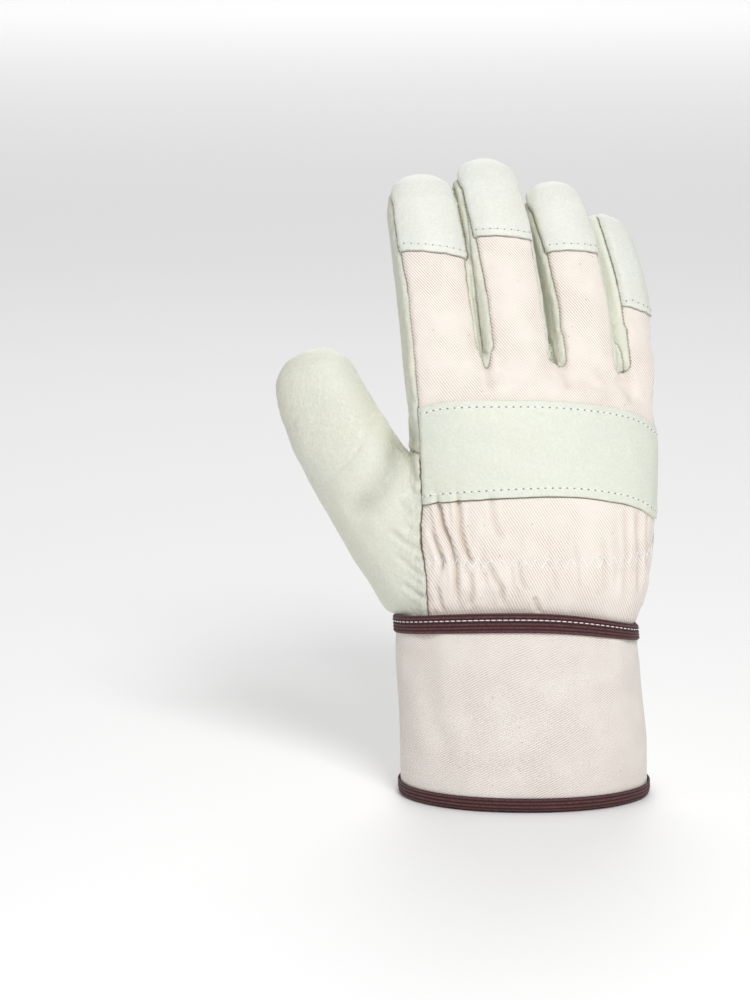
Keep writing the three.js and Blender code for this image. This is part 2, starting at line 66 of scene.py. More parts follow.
class Paint:
    """A material and its nodes. A method adds a node, given numbers, colours or sockets, and returns its
    output."""

    def __init__(self, name):
        self.made = bpy.data.materials.new(name)
        self.made.use_nodes = True
        self.tree = self.made.node_tree
        self.spot = self.add("ShaderNodeTexCoord").outputs["Object"]

    def give(self, node, inputs):
        for key, value in inputs.items():
            if isinstance(value, bpy.types.NodeSocket):
                self.tree.links.new(value, node.inputs[key])
            else:
                node.inputs[key].default_value = value

    def add(self, kind, inputs=None, **settings):
        node = self.tree.nodes.new(kind)
        for key, value in settings.items():
            setattr(node, key, value)
        self.give(node, inputs or {})
        return node

    def finish(self, inputs):
        """Sets or joins the shader's own inputs."""
        self.give(self.tree.nodes["Principled BSDF"], inputs)
        return self.made

    def maths(self, operation, *values):
        return self.add("ShaderNodeMath", dict(enumerate(values)), operation=operation).outputs[0]

    def noise(self, scale, detail, roughness=0.5, spot=None):
        inputs = {"Vector": spot or self.spot, "Scale": scale, "Detail": detail, "Roughness": roughness}
        return self.add("ShaderNodeTexNoise", inputs).outputs["Fac"]

    def span(self, value, low, high, at_low=0.0, at_high=1.0):
        """Lays the range from low to high on the one from at_low to at_high, and stops at its ends."""
        inputs = {"Value": value, "From Min": low, "From Max": high, "To Min": at_low, "To Max": at_high}
        return self.add("ShaderNodeMapRange", inputs).outputs[0]

    def between(self, share, first, second):
        return self.add("ShaderNodeMix", {0: share, 2: first, 3: second}, data_type="FLOAT").outputs[0]

    def colour(self, share, first, second, way="MIX"):
        inputs = {0: share}
        for key, value in ((6, first), (7, second)):
            inputs[key] = value if isinstance(value, bpy.types.NodeSocket) else (*value, 1)
        return self.add("ShaderNodeMix", inputs, data_type="RGBA", blend_type=way).outputs[2]

    def layer(self, name):
        """A value that the mesh keeps at its vertices."""
        return self.add("ShaderNodeAttribute", attribute_name=name).outputs["Fac"]

    def flat_map(self):
        return self.add("ShaderNodeUVMap", uv_map="flat").outputs["UV"]

    def height(self):
        return self.add("ShaderNodeSeparateXYZ", {"Vector": self.spot}).outputs["Z"]

    def bump(self, height, strength, distance, under=None):
        inputs = {"Height": height, "Strength": strength, "Distance": distance}
        if under:
            inputs["Normal"] = under
        return self.add("ShaderNodeBump", inputs).outputs["Normal"]


def plain_material(name, colour, roughness):
    return Paint(name).finish({"Base Color": (*colour, 1), "Roughness": roughness})


floor_size = 16
floor_drop = 0.3 * mm
floor_mesh = bpy.data.meshes.new("floor")
bm = bmesh.new()
below = Matrix.Translation((0, 0, -floor_drop))
bmesh.ops.create_grid(bm, x_segments=1, y_segments=1, size=floor_size, matrix=below)
bm.to_mesh(floor_mesh)
bm.free()
floor = bpy.data.objects.new("floor", floor_mesh)
bpy.context.scene.collection.objects.link(floor)
floor_mesh.materials.append(plain_material("table", (0.92, 0.92, 0.92), 0.6))

world = bpy.data.worlds.new("studio")
world.use_nodes = True
world.node_tree.nodes["Background"].inputs["Color"].default_value = (1, 1, 1, 1)
world.node_tree.nodes["Background"].inputs["Strength"].default_value = 0.45
bpy.context.scene.world = world


def lamp(name, azimuth, elevation, distance, size, power):
    """A square soft box that looks at the middle of the glove. Azimuth 0 is at the camera, angles are in
    degrees, distance and size in metres and power in watts."""
    data = bpy.data.lights.new(name, "AREA")
    data.size = size
    data.energy = power
    made = bpy.data.objects.new(name, data)
    turn = radians(azimuth)
    rise = radians(elevation)
    away = Vector((-sin(turn) * cos(rise), -cos(turn) * cos(rise), sin(rise)))
    made.location = Vector((0, 0, 130 * mm)) + distance * away
    made.rotation_euler = (-away).to_track_quat("-Z", "Y").to_euler()
    bpy.context.scene.collection.objects.link(made)


lamp("key", -16, 44, 1.5, 0.5, 13)
lamp("fill", 60, 15, 1.8, 1.2, 1.2)
lamp("behind", 170, 50, 1.8, 0.9, 4)
lamp("background", 180, 24, 9.0, 6.0, 190)

# The hand's skin
# The leather and drill of the hand are sewn edge to edge and turned, so they are shaped as one skin. The
# solids are closed over their gaps and smoothed, and the skin then takes its folds and is cut into panels.
skin_step = 0.9 * mm
seam_closing = 0.18 * mm
skin_swell = 0.3 * mm
wrist_cut = 71 * mm
tucked_in = 5 * mm
finger_names = ["index", "middle", "ring", "little"]
front_names = [name + "_front" for name in finger_names]
cap_names = [name + "_tip_cap" for name in finger_names]
skin_nodes = ["back_drill", "palm_leather", "thumb_leather"] + front_names + cap_names


def link(name, mesh):
    made = bpy.data.objects.new(name, mesh)
    bpy.context.scene.collection.objects.link(made)
    return made


def shaped(made, *modifiers):
    """A mesh of the object after its modifiers, each given as its kind and settings; the object goes."""
    for kind, settings in modifiers:
        modifier = made.modifiers.new(kind.lower(), kind)
        for key, value in settings.items():
            setattr(modifier, key, value)
    graph = bpy.context.evaluated_depsgraph_get()
    mesh = bpy.data.meshes.new_from_object(made.evaluated_get(graph))
    bpy.data.objects.remove(made)
    return mesh


def merged_solid(name):
    """A copy of a node's solid with its loose triangles joined."""
    copy = bmesh.new()
    copy.from_mesh(nodes[name].data)
    bmesh.ops.remove_doubles(copy, verts=copy.verts, dist=0.001 * mm)
    return copy


def largest_island(mesh_in_hand):
    """The vertices of the largest unbroken surface."""
    left = set(mesh_in_hand.verts)
    best = []
    while left:
        island = [left.pop()]
        for vert in island:
            for edge in vert.link_edges:
                other = edge.other_vert(vert)
                if other in left:
                    left.remove(other)
                    island.append(other)
        if len(island) > len(best):
            best = island
    return best


closed = bmesh.new()
for name in skin_nodes:
    solid = merged_solid(name)
    solid.normal_update()
    for vert in solid.verts:
        vert.co += vert.normal * seam_closing
    part = bpy.data.meshes.new("part")
    solid.to_mesh(part)
    solid.free()
    closed.from_mesh(part)
    bpy.data.meshes.remove(part)
closed_mesh = bpy.data.meshes.new("closed")
closed.to_mesh(closed_mesh)
closed.free()
smooth_mesh = shaped(
    link("closed", closed_mesh),
    ("REMESH", {"mode": "VOXEL", "voxel_size": skin_step}),
    ("SMOOTH", {"factor": 0.5, "iterations": 40}),
)
skin = bmesh.new()
skin.from_mesh(smooth_mesh)
everything = list(skin.verts) + list(skin.edges) + list(skin.faces)
bmesh.ops.bisect_plane(
    skin, geom=everything, plane_co=(0, 0, wrist_cut), plane_no=(0, 0, 1), clear_inner=True
)
outside = set(largest_island(skin))
bmesh.ops.delete(skin, geom=[vert for vert in skin.verts if vert not in outside], context="VERTS")
skin.normal_update()
for vert in skin.verts:
    vert.co += vert.normal * skin_swell
rim = bmesh.ops.extrude_edge_only(skin, edges=[edge for edge in skin.edges if edge.is_boundary])
rim_verts = [item for item in rim["geom"] if isinstance(item, bmesh.types.BMVert)]
bmesh.ops.translate(skin, verts=rim_verts, vec=(0, 0, -tucked_in))

# How far each point of the skin is from each panel's solid.
reach = {}
for name in skin_nodes:
    layer = skin.verts.layers.float.new(name)
    reach[name] = layer
for name in skin_nodes:
    solid = merged_solid(name)
    tree = BVHTree.FromBMesh(solid)
    solid.free()
    layer = reach[name]
    for vert in skin.verts:
        vert[layer] = tree.find_nearest(vert.co)[3]


def nearest_of(vert, names):
    return min(vert[reach[name]] for name in names)


# A corner nearer to a cut than this share of its edge is moved on to it.
snap_share = 0.22


def cut_along(mesh_in_hand, faces, value):
    """Cuts the faces where a value is nought. Returns those above it, those below and the line's points."""
    on_line = {}
    crossing = []
    for edge in dict.fromkeys(edge for face in faces for edge in face.edges):
        a, b = edge.verts
        if value[a] * value[b] >= 0:
            continue
        share = value[a] / (value[a] - value[b])
        if min(share, 1 - share) > snap_share:
            crossing.append(edge)
            continue
        near = a if share < 0.5 else b
        if near not in on_line:
            near.co = a.co.lerp(b.co, share)
            on_line[near] = True
    for edge in crossing:
        a, b = edge.verts
        if a in on_line or b in on_line:
            continue
        share = value[a] / (value[a] - value[b])
        made = bmesh.utils.edge_split(edge, a, share)[1]
        value[made] = 0
        on_line[made] = True
    for vert in on_line:
        value[vert] = 0
    bmesh.ops.connect_verts(mesh_in_hand, verts=list(on_line), check_degenerate=True)
    touched = dict.fromkeys(face for vert in value for face in vert.link_faces)
    group = [face for face in touched if all(vert in value for vert in face.verts)]
    above = [face for face in group if sum(value[vert] for vert in face.verts) > 0]
    below = [face for face in group if sum(value[vert] for vert in face.verts) <= 0]
    return above, below, list(on_line)


panel_of = skin.faces.layers.int.new("panel")
number_of = {name: number for number, name in enumerate(skin_nodes)}
seam_points = {"side": [], "hem": [], "thumb": [], "finger": []}


def step(value, low, high):
    share = min(max((value - low) / (high - low), 0), 1)
    return share * share * (3 - 2 * share)


def line_distance(x, z, points):
    """The distance from a point seen from the front to a bent line, and its place along the line, 0 to 1."""
    best = (1e9, 0)
    for i in range(len(points) - 1):
        (ax, az), (bx, bz) = points[i], points[i + 1]
        run = (bx - ax) ** 2 + (bz - az) ** 2
        share = min(max(((x - ax) * (bx - ax) + (z - az) * (bz - az)) / run, 0), 1)
        gap = sqrt((x - ax - share * (bx - ax)) ** 2 + (z - az - share * (bz - az)) ** 2)
        best = min(best, (gap, (i + share) / (len(points) - 1)))
    return best


# Where the sewer eased the side seam round further than the solids have it: beside the index finger, and
# where leather shows in the three forks and down the little finger's inner side. Points are x and z in mm.
# Each fork's strip: its middle line, and its half width at the foot and at the top.
index_seam = [(-43.5, 156), (-43.5, 160), (-45.8, 186), (-47.5, 202), (-49.2, 218)]
fork_strips = [
    ([(-15.3, 177.4), (-16.1, 184.5)], 0.8, 3.2),
    ([(14.9, 177.8), (13.6, 187)], 2.2, 2.2),
    ([(41.2, 175.0), (40.2, 187)], 3.5, 3.5),
]
little_strip = [(40.2, 184), (38.8, 197), (36.6, 208), (31.4, 226), (26.8, 240)]
little_strip_half = 3.0


def eased_seam(vert, value):
    """How far inside the back a point lies, in metres, after the seam's easing."""
    x, _, z = vert.co / mm
    for points, foot_half, top_half in fork_strips:
        gap, share = line_distance(x, z, points)
        value = min(value, (gap - foot_half - share * (top_half - foot_half)) * mm)
    to_little = nearest_of(vert, ["little_front", "little_tip_cap"])
    to_ring = nearest_of(vert, ["ring_front", "ring_tip_cap"])
    if to_little <= to_ring and (z < 215 or vert.normal.y < 0.1):
        value = min(value, (line_distance(x, z, little_strip)[0] - little_strip_half) * mm)
    beside = step(z, 156, 162) * (1 - step(z, 208, 216)) * step(-x, 32, 37) * step(-vert.normal.y, -0.3, 0)
    i = max(k for k in range(len(index_seam) - 1) if k == 0 or index_seam[k][1] < z)
    (x0, z0), (x1, z1) = index_seam[i:i + 2]
    seam_x = x0 + (z - z0) / (z1 - z0) * (x1 - x0)
    return value + beside * ((x - seam_x) * mm - value)


def part_panels(kind, one_side, other_side):
    """Cuts the faces of two groups of panels midway between them. Each face takes its group's first name."""
    names = {number_of[name] for name in one_side + other_side}
    faces = [face for face in skin.faces if face[panel_of] in names]
    value = {}
    for face in faces:
        for vert in face.verts:
            if vert not in value:
                value[vert] = nearest_of(vert, other_side) - nearest_of(vert, one_side)
                if kind == "side":
                    value[vert] = eased_seam(vert, value[vert])
    above, below, line = cut_along(skin, faces, value)
    for faces, group in ((above, one_side), (below, other_side)):
        for face in faces:
            face[panel_of] = number_of[group[0]]
    seam_points[kind] += line


dorsal = ["back_drill"] + cap_names
palmar = ["palm_leather", "thumb_leather"] + front_names
part_panels("side", dorsal, palmar)
part_panels("hem", ["back_drill"], cap_names)
part_panels("thumb", ["thumb_leather"], ["palm_leather"] + front_names)
part_panels("finger", ["palm_leather"], front_names)
for i in range(3):
    part_panels("finger", front_names[i:i + 1], front_names[i + 1:])
    part_panels("hem", cap_names[i:i + 1], cap_names[i + 1:])

# Folds, seams and gathers
# Seams are sewn inside out and turned, so they lie in a furrow with small puckers beside it. The drill is
# gathered by an elastic at the wrist, and the leather has folds where the hand bends.
elastic_z = 99.5
gathers_z = 97
knuckle_z = 156
fork_z = 184
# How deep each kind of seam's furrow is, in mm.
furrow = {"side": 0.65, "hem": 0.0, "thumb": 0.7, "finger": 0.6}
seam_trees = {}
for kind, verts in seam_points.items():
    seam_trees[kind] = KDTree(len(verts))
    for i, vert in enumerate(verts):
        seam_trees[kind].insert(vert.co, i)
    seam_trees[kind].balance()


def bell(value, width):
    return exp(-((value / width) ** 2))


# Each fold: x and z along it in mm as seen from the front, its depth and half width.
back_folds = [
    ([(-16.1, 183), (-15.3, 177), (-13.8, 166)], 1.2, 1.5),
    ([(14.7, 180), (16.6, 173), (19.0, 166)], 0.8, 1.9),
    ([(41.3, 177), (43.0, 168), (45.5, 158)], 0.9, 1.9),
    ([(29.0, 176), (33.0, 168), (35.0, 160)], 0.4, 2.6),
    ([(-36.5, 130), (-35.5, 122), (-34, 114), (-31, 107), (-28.6, 100), (-28.4, 91), (-28.6, 80)], 2.3, 1.15),
    ([(-39.0, 113), (-36.5, 106), (-34.0, 100), (-35.0, 94)], 1.6, 1.1),
    ([(-27.8, 130), (-27.3, 122), (-26.6, 112), (-24.3, 104), (-21.3, 98)], 2.0, 1.1),
    ([(-23.0, 98), (-22.0, 89), (-23.0, 81)], 1.2, 1.2),
    ([(-14.5, 129), (-13.8, 121), (-12.6, 114), (-9.1, 107)], 0.9, 1.3),
    ([(-16.3, 102), (-12.6, 94), (-10.1, 90), (-9.6, 82)], 1.5, 1.1),
    ([(-3.4, 102), (-2.2, 94), (0.9, 88)], 1.1, 1.0),
    ([(3.2, 87), (5.6, 79)], 1.2, 1.0),
    ([(-36.0, 90), (-35.0, 84), (-33.5, 79)], 0.9, 1.0),
    ([(11.3, 98), (12.2, 88)], 0.8, 1.1),
    ([(20.0, 108), (22.0, 98), (22.6, 88)], 0.7, 1.2),
    ([(31.0, 110), (32.4, 98), (33.0, 86)], 0.7, 1.3),
    ([(41.0, 124), (41.6, 108), (41.2, 92), (40.4, 82)], 0.9, 1.2),
    ([(46.8, 122), (47.4, 106), (47.0, 92), (46.0, 82)], 1.1, 1.2),
    ([(51.2, 118), (51.6, 104), (51.0, 92)], 0.9, 1.1),
]
palm_folds = [
    ([(-40, 141), (-29, 128), (-21, 110), (-19, 92), (-24, 80)], 1.6, 2.2),
    ([(-35, 137), (-25, 122), (-14, 106), (-9, 90)], 0.8, 2.4),
    ([(-2, 133), (4, 122), (5, 108), (0, 98)], 0.9, 3.0),
    ([(-46, 156), (-38, 158), (-26, 156)], 0.8, 2.0),
    ([(-44, 166), (-34, 168), (-24, 166)], 0.7, 1.8),
    ([(20, 152), (34, 146), (48, 144)], 0.8, 2.4),
]
thumb_folds = [
    ([(-45, 156), (-53, 135), (-61, 125.5), (-74, 114)], 2.6, 5.2),
    ([(-34, 101), (-46, 104), (-57, 112)], 0.8, 1.2),
    ([(-34, 91), (-44, 94), (-54, 102)], 0.8, 1.1),
    ([(-34, 83), (-44, 85), (-51, 90)], 0.7, 1.1),
    ([(-36, 112), (-45, 116), (-53, 125)], 0.8, 1.3),
    ([(-38, 127), (-44, 131), (-47, 140)], 0.7, 1.3),
    ([(-36, 106), (-42, 108), (-48, 113)], 0.5, 0.9),
    ([(-34, 96), (-40, 97), (-46, 100)], 0.5, 0.9),
]
# How dark each kind of seam's line is: partly the raw edge's own colour, partly painted shade in the seam's
# furrow.
seam_darkness = {"side": 0.55, "hem": 0.5, "thumb": 0.5, "finger": 0.4}
open_seam_darkness = 0.95
tip_seam_darkness = 0.8


def darkness_of(kind, x, z):
    """A seam's line is darker round the fingertips, and where the thumb pulls it open, with painted shade in
    the opened gap.
    """
    if kind == "side" and z > 205:
        return tip_seam_darkness
    if kind == "side" and x < 0 and z < 160.5:
        return open_seam_darkness
    return seam_darkness[kind]


def seam_relief(spot, apart):
    """The skin's slack, the puckers beside its seams, and the seams' furrows with a swelling on each side."""
    out = 0.5 * noise.noise(spot / 26) + 0.22 * noise.noise(spot / 9)
    nearest_seam = min(apart["side"], apart["thumb"], apart["finger"])
    out += 0.35 * bell(nearest_seam, 7) * noise.noise(spot / 3.4)
    for kind, depth in furrow.items():
        out -= depth * bell(apart[kind], 0.95)
        out += 0.35 * depth * bell(apart[kind] - 2.4, 1.4)
    return out


def drill_relief(spot):
    """The gathers on both sides of the elastic, and the fullness on the little finger's side."""
    x, y, z = spot
    wrist = bell(z - gathers_z, 15)
    out = -1.2 * wrist * max(0, noise.noise(Vector((x / 2.5, y / 6, z / 15)))) ** 0.9
    out += 0.7 * wrist * noise.noise(Vector((x / 6.5, y / 9, z / 24)))
    out -= 0.5 * bell(z - elastic_z, 2.6) * (0.6 + 0.6 * noise.noise(Vector((x / 2.4, 0, 7))))
    return out + step(x, 26, 46) * (2.2 * bell(z - 77, 9) - 0.7 * bell(z - 105, 9))


def leather_relief(spot, apart):
    """The creases at the thumb's root, across the fingers and in their forks, and how worn the leather is."""
    x, y, z = spot
    slant = Vector((x + 0.7 * z, y * 1.2, 0.25 * (z - 0.7 * x)))
    crease = (1 - abs(noise.noise(slant / 5.5))) ** 6
    thumb_root = max(bell(apart["side"], 9) * step(-x, 28, 33), bell(apart["thumb"], 8))
    thumb_root *= step(146 - z, 0, 22)
    out = -(0.08 + 0.34 * thumb_root) * crease
    across_finger = (1 - abs(noise.noise(Vector((x / 22, y / 9, z / 4.2))))) ** 5
    out -= 0.28 * bell(z - knuckle_z, 22) * across_finger
    fork = bell(z - fork_z, 7) * step(-y, 4, 16)
    out += 0.55 * fork * noise.noise(Vector((x / 16, y / 16, z / 1.9)))
    nearest_seam = min(apart["side"], apart["thumb"], apart["finger"])
    wear = 0.15 + 0.7 * thumb_root + 0.6 * bell(nearest_seam, 5) + 0.4 * bell(z - knuckle_z, 16)
    return out, min(1, wear)


def fold_relief(x, z, folds):
    """The folds near a point: how far they move it, and how much painted shade it gets for lying deep in one,
    0 to 1.
    """
    out = 0
    fold_shade = 0
    for points, depth, width in folds:
        gap, share = line_distance(x, z, points)
        if gap < 3 * width:
            ends = step(share, 0, 0.2) * step(1 - share, 0, 0.2)
            out += depth * ends * (0.4 * bell(gap - 2.0 * width, width) - bell(gap, width))
            fold_shade = max(fold_shade, min(1, 0.45 * depth) * ends * bell(gap, 0.75 * width))
    return out, fold_shade


seam_gap = skin.verts.layers.float.new("seam_gap")
seam_dark = skin.verts.layers.float.new("seam_dark")
worn = skin.verts.layers.float.new("worn")
hollow_shade = skin.verts.layers.float.new("hollow_shade")
skin.normal_update()
moves = []
for vert in skin.verts:
    spot = vert.co / mm
    on_back = nearest_of(vert, dorsal) < nearest_of(vert, palmar)
    apart = {kind: tree.find(vert.co)[2] / mm for kind, tree in seam_trees.items()}
    out = seam_relief(spot, apart)
    if on_back:
        out += drill_relief(spot)
    else:
        creases, vert[worn] = leather_relief(spot, apart)
        out += creases
    folds = back_folds if on_back else thumb_folds if vert.normal.y < 0 else palm_folds
    folded, vert[hollow_shade] = fold_relief(spot.x, spot.z, folds)
    out += folded
    vert[seam_gap], kind = min((apart[kind], kind) for kind in apart if on_back or kind != "hem")
    vert[seam_dark] = darkness_of(kind, spot.x, spot.z)
    moves.append((vert, vert.normal * out * mm))
for vert, move in moves:
    vert.co += move
skin.normal_update()


def cut_out(name):
    """One panel of the skin, alone."""
    alone = skin.copy()
    number = number_of[name]
    layer = alone.faces.layers.int["panel"]
    bmesh.ops.delete(alone, geom=[face for face in alone.faces if face[layer] != number], context="FACES")
    for unused in list(alone.verts.layers.float.keys()):
        if unused not in ("seam_gap", "seam_dark", "worn", "hollow_shade"):
            alone.verts.layers.float.remove(alone.verts.layers.float[unused])
    return alone


def finish_piece(mesh_in_hand, name, materials, thickness=0, replaces=()):
    """Makes an object of the mesh, with smooth faces and its wall, hangs it on the root body, and hides the
    parts that it replaces.
    """
    mesh = bpy.data.meshes.new(name)
    for face in mesh_in_hand.faces:
        face.smooth = True
    mesh_in_hand.to_mesh(mesh)
    mesh_in_hand.free()
    made = link(name, mesh)
    for material in materials:
        mesh.materials.append(material)
    if thickness:
        wall = made.modifiers.new("wall", "SOLIDIFY")
        wall.thickness = thickness * mm
        wall.offset = -1
    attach(made, "root")
    if replaces:
        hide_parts(*replaces)
    return made


def traced(faces, value):
    """The lines over the faces where a value is nought: points, each with the surface's direction."""
    spots = {}
    links = {}
    for face in faces:
        found = []
        for edge in face.edges:
            a, b = edge.verts
            if (value[a] > 0) == (value[b] > 0):
                continue
            share = value[a] / (value[a] - value[b])
            spots[edge] = (a.co.lerp(b.co, share), a.normal.lerp(b.normal, share).normalized())
            found.append(edge)
        if len(found) == 2:
            links.setdefault(found[0], []).append(found[1])
            links.setdefault(found[1], []).append(found[0])
    unused = dict.fromkeys(links)
    lines = []
    for start in [edge for edge in links if len(links[edge]) == 1] + list(links):
        if start not in unused:
            continue
        line = [start]
        del unused[start]
        while True:
            onward = [edge for edge in links[line[-1]] if edge in unused]
            if not onward:
                break
            line.append(onward[0])
            del unused[onward[0]]
        lines.append([spots[edge] for edge in line])
    return lines


def evenly(line, pitch):
    """Points along a line at even steps, each with its direction along the line and away from the surface."""
    total = 0
    marks = []
    target = pitch / 2
    for (a, a_up), (b, b_up) in zip(line, line[1:]):
        run = (b - a).length
        while run and total + run >= target:
            share = (target - total) / run
            marks.append((a.lerp(b, share), a_up.lerp(b_up, share).normalized()))
            target += pitch
        total += run
    found = []
    for i, (point, up) in enumerate(marks):
        along = marks[min(i + 1, len(marks) - 1)][0] - marks[max(i - 1, 0)][0]
        along -= along.dot(up) * up
        if along.length:
            found.append((point, along.normalized(), up))
    return found


def add_stitches(threads, lines, pitch, length, width, hole=0):
    """A row of stitches on each line: round-ended threads, and small dark discs of painted shade in the holes
    that they go down into. Sizes are in mm."""
    for line in lines:
        for point, along, up in evenly(line, pitch * mm):
            across = up.cross(along)
            turn = Matrix((along, across, up)).transposed().to_4x4()
            size = Matrix.Diagonal((length / 2 * mm, width / 2 * mm, width / 3 * mm, 1))
            place = Matrix.Translation(point + 0.05 * mm * up) @ turn @ size
            bmesh.ops.create_uvsphere(threads, u_segments=6, v_segments=5, radius=1, matrix=place)
            if hole:
                # Painted shade: a flat dark disc where the thread goes down into its hole.
                size = Matrix.Diagonal((hole / 2 * mm, hole / 2.6 * mm, 0.12 * mm, 1))
                place = Matrix.Translation(point + pitch / 2 * mm * along) @ turn @ size
                made = bmesh.ops.create_icosphere(threads, subdivisions=1, radius=1, matrix=place)
                for face in {face for vert in made["verts"] for face in vert.link_faces}:
                    face.material_index = 1


thread_white = plain_material("white thread", (0.93, 0.94, 0.93), 0.7)
thread_pale = plain_material("pale thread", (0.76, 0.80, 0.71), 0.7)
# Painted shade: the colour of the dark discs that stand for the shade inside the stitch holes.
hole_shade = plain_material("stitch hole shade", (0.20, 0.22, 0.16), 0.9)

# Drill back
# The back of the hand and fingers is cut in one from unbleached cotton drill, a heavy twill with a diagonal
# rib and a few darker flecks of husk. A zigzag of elastic thread gathers it at the wrist.


def seam_line(paint):
    """How much of a seam's dark line shows, partly the raw edge's own colour and partly painted shade in the
    seam's furrow: a dotted row like stitch holes, or unbroken where it is pulled open.
    """
    dark = paint.layer("seam_dark")
    thin = paint.span(paint.layer("seam_gap"), 0.2, 0.6, 1.0, 0.0)
    wave = paint.maths("SINE", paint.maths("MULTIPLY", paint.height(), 2 * pi / (1.3 * mm)))
    holes = paint.span(wave, -1, 1, 0.5, 1.0)
    broken = paint.between(paint.span(dark, 0.7, 0.9), holes, 1.0)
    return paint.maths("MULTIPLY", paint.maths("MULTIPLY", dark, broken), thin)


def drill_material(name, base, between, pitch, weave):
    """Cotton drill: base is its ribs' colour and between the darker colour painted between them as shade in
    the grooves, pitch the distance from rib to rib in mm, and weave gives the place across the ribs, in
    metres."""
    paint = Paint(name)
    wander = paint.maths("MULTIPLY", paint.noise(260, 1), 0.0003)
    across = paint.maths("ADD", weave(paint), wander)
    rib = paint.maths("SINE", paint.maths("MULTIPLY", across, 2 * pi / (pitch * mm)))
    yarn = paint.noise(1500, 2, 0.6)
    height = paint.between(0.3, paint.span(rib, -1, 1), yarn)
    warm = paint.colour(paint.noise(38, 3), base, [part * 0.96 for part in base])
    # Painted shade: the grooves between the ribs are coloured darker, more clearly in some patches than in
    # others.
    hollow_shade = paint.span(height, 0.16, 0.5, 1.0, 0.0)
    clear = paint.span(paint.noise(70, 2), 0.35, 0.65, 0.35, 0.9)
    ribbed = paint.colour(paint.maths("MULTIPLY", hollow_shade, clear), warm, between)
    cells = paint.add("ShaderNodeTexVoronoi", {"Vector": paint.spot, "Scale": 190})
    fleck = paint.span(cells.outputs["Distance"], 0.04, 0.085, 0.5, 0.0)
    chance = paint.add("ShaderNodeSeparateColor", {"Color": cells.outputs["Color"]}).outputs[0]
    shown = paint.maths("MULTIPLY", fleck, paint.maths("GREATER_THAN", chance, 0.45))
    flecked = paint.colour(shown, ribbed, (0.42, 0.24, 0.12))
    below = paint.layer("below_strap")
    shadow = paint.maths("MULTIPLY", paint.span(below, 10.5, 10.95, 0.85, 0.0), paint.span(below, 7, 8))
    # Painted shade: the folds' valleys are coloured a darker brown.
    folded = paint.colour(paint.maths("MULTIPLY", paint.layer("hollow_shade"), 0.5), flecked, (0.46, 0.35, 0.28))
    # Painted shade: the strap's shadow line and the seams' lines darken the drill towards dark brown.
    lines = paint.maths("MAXIMUM", shadow, seam_line(paint))
    return paint.finish({
        "Base Color": paint.colour(lines, folded, (0.14, 0.085, 0.055)),
        "Normal": paint.bump(height, 0.4, 0.00018),
        "Roughness": 0.9,
        "Sheen Weight": 0.15,
        "Sheen Roughness": 0.5,
    })


def slanting_planes(paint):
    """Ribs that run down towards the little finger's side, steeper at the wrist than on the fingers."""
    slope = paint.add("ShaderNodeVectorMath", {0: paint.spot, 1: (0.84, 0.28, 0.46)}, operation="DOT_PRODUCT")
    rise = paint.maths("SUBTRACT", paint.height(), 0.1)
    return paint.maths("MULTIPLY_ADD", paint.maths("MULTIPLY", rise, rise), 0.95, slope.outputs["Value"])


strap_top = 1
strap_bottom = 2
# The strap's edges as seen from the front, which the drill's shadow line needs too: x, top and bottom in mm.
strap_rows = [
    (-47, 158.4, 119.6),
    (-34, 162.7, 123.2),
    (-8, 163.8, 125.6),
    (18, 162.4, 125.8),
    (36, 159.2, 122.9),
    (48, 154.7, 118.4),
    (57, 147.0, 110.5),
    (66, 137.0, 101.0),
]


def strap_height(x, column):
    """The height of an edge, strap_top or strap_bottom, on a smooth line through the rows."""
    last = len(strap_rows) - 1

    def slope(k):
        low, high = strap_rows[max(k - 1, 0)], strap_rows[min(k + 1, last)]
        return (high[column] - low[column]) / (high[0] - low[0])

    i = min(max(sum(row[0] < x for row in strap_rows) - 1, 0), last - 1)
    run = strap_rows[i + 1][0] - strap_rows[i][0]
    s = min(max((x - strap_rows[i][0]) / run, 0), 1)
    low, high = strap_rows[i][column], strap_rows[i + 1][column]
    ends = (2 * s ** 3 - 3 * s ** 2 + 1) * low + (3 * s ** 2 - 2 * s ** 3) * high
    return ends + run * ((s ** 3 - 2 * s ** 2 + s) * slope(i) + (s ** 3 - s ** 2) * slope(i + 1))


zigzag_pitch = 2.5
zigzag_half = 1.9
drill = drill_material("cotton drill", (0.93, 0.865, 0.80), (0.60, 0.48, 0.40), 1.0, slanting_planes)
part = cut_out("back_drill")
value = {vert: vert.co.z - elastic_z * mm for vert in part.verts}
zigzag_lines = [line for line in traced(part.faces, value) if len(line) > 60]
drill_tree = BVHTree.FromBMesh(part)
# How far below the strap's bottom edge each point is, in mm, with 10 added so that it stays above nought.
below_strap = part.verts.layers.float.new("below_strap")
for vert in part.verts:
    vert[below_strap] = max(10 + strap_height(vert.co.x / mm, strap_bottom) - vert.co.z / mm, 0.0)
zigzag = bmesh.new()
for line in zigzag_lines:
    corners = []
    for i, (point, _, _) in enumerate(evenly(line, zigzag_pitch * mm)):
        rise = (zigzag_half if i % 2 else -zigzag_half) * mm
        spot, up, _, _ = drill_tree.find_nearest(point + Vector((0, 0, rise)))
        corners.append((spot, up))
    add_stitches(zigzag, [corners], 1.1, 1.4, 0.6)
back_drill = finish_piece(part, "back_drill_cloth", [drill], 1.1, ["back_drill"])
finish_piece(zigzag, "wrist_zigzag", [thread_white])

# Leather palm, thumb and finger fronts
# Full-grain leather, pale green-cream, about 1.2 mm thick and soft: the palm with the inner half of the
# thumb, the thumb's outer half, and the front of each finger, sewn inside out and turned.
leather_wall = 1.2


